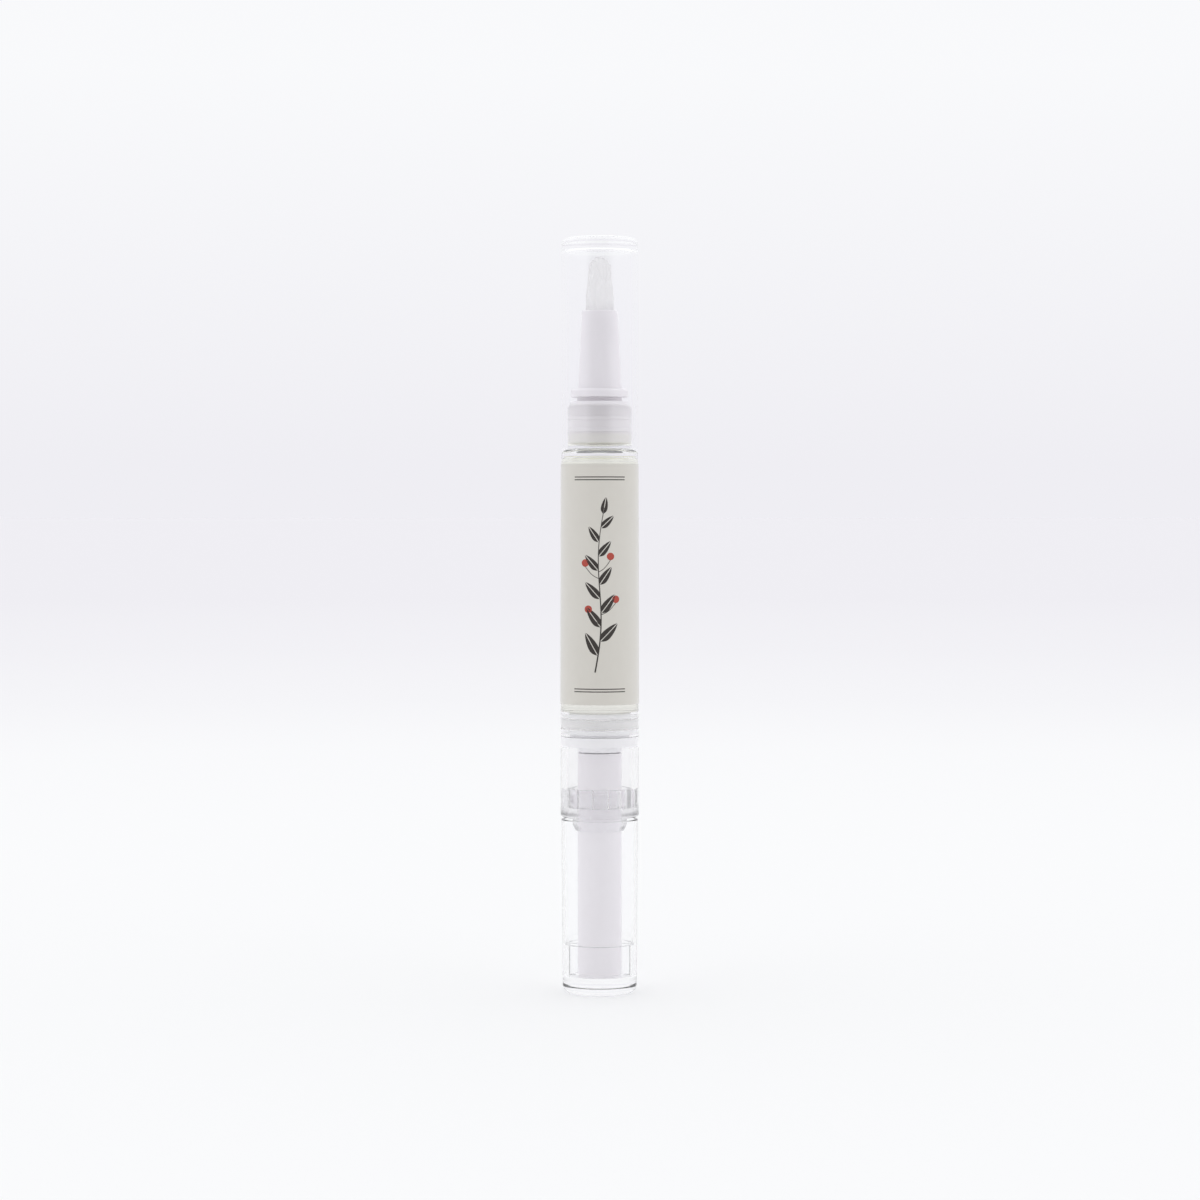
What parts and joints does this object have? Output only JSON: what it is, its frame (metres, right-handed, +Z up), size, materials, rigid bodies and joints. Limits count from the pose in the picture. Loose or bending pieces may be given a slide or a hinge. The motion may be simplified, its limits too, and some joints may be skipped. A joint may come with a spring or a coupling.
{
  "type": "nail oil pen",
  "caption": "Slim clear twist-up oil pen with a brush tip, a push-on cap, a screw-driven piston and a turning knob that it stands on.",
  "frame": {"origin": "middle of the base that the pen stands on", "axes": "+Z up along the pen's axis, from the knob to the cap; the label's seam faces +Y"},
  "size_m": [0.0132, 0.0131, 0.125],
  "materials": {
    "cap_clear": "clear, polished",
    "barrel_clear": "clear, polished",
    "knob_clear": "clear, polished",
    "white_plastic": "satin white",
    "natural_plastic": "translucent, waxy",
    "bristle_nylon": "fine nylon",
    "label_film": "matt film",
    "oil": "clear liquid, pale yellow"
  },
  "bodies": {
    "barrel": {"barrel": "barrel_clear", "label": "label_film", "nail_oil": "oil", "brush_holder": "white_plastic", "brush_bristles": "bristle_nylon", "brush_collar": "white_plastic", "feed_tube": "natural_plastic", "screw_nut": "natural_plastic", "ratchet_bush": "barrel_clear"},
    "cap": {"cap": "cap_clear"},
    "knob": {"knob": "knob_clear", "driver_sleeve": "white_plastic", "click_ring": "white_plastic"},
    "piston": {"piston": "natural_plastic"},
    "screw": {"drive_screw": "white_plastic"}
  },
  "joints": [
    {"name": "cap_pull", "type": "slide", "parent": "barrel", "child": "cap", "axis": [0, 0, 1], "range_m": [0, 0.04]},
    {"name": "knob_twist", "type": "hinge", "parent": "barrel", "child": "knob", "pos_m": [0, 0, 0.0289], "axis": [0, 0, 1], "range_deg": [0, 3960]},
    {"name": "piston_feed", "type": "slide", "parent": "barrel", "child": "piston", "axis": [0, 0, 1], "range_m": [0, 0.033], "deforming": ["nail_oil"]},
    {"name": "screw_spin", "type": "hinge", "parent": "piston", "child": "screw", "pos_m": [0, 0, 0.042], "axis": [0, 0, 1], "range_deg": [0, 3960]}
  ],
  "couplings": [
    {"joint": "knob_twist", "follows": "piston_feed", "rad_per_m": 2094.4},
    {"joint": "screw_spin", "follows": "piston_feed", "rad_per_m": 2094.4}
  ]
}
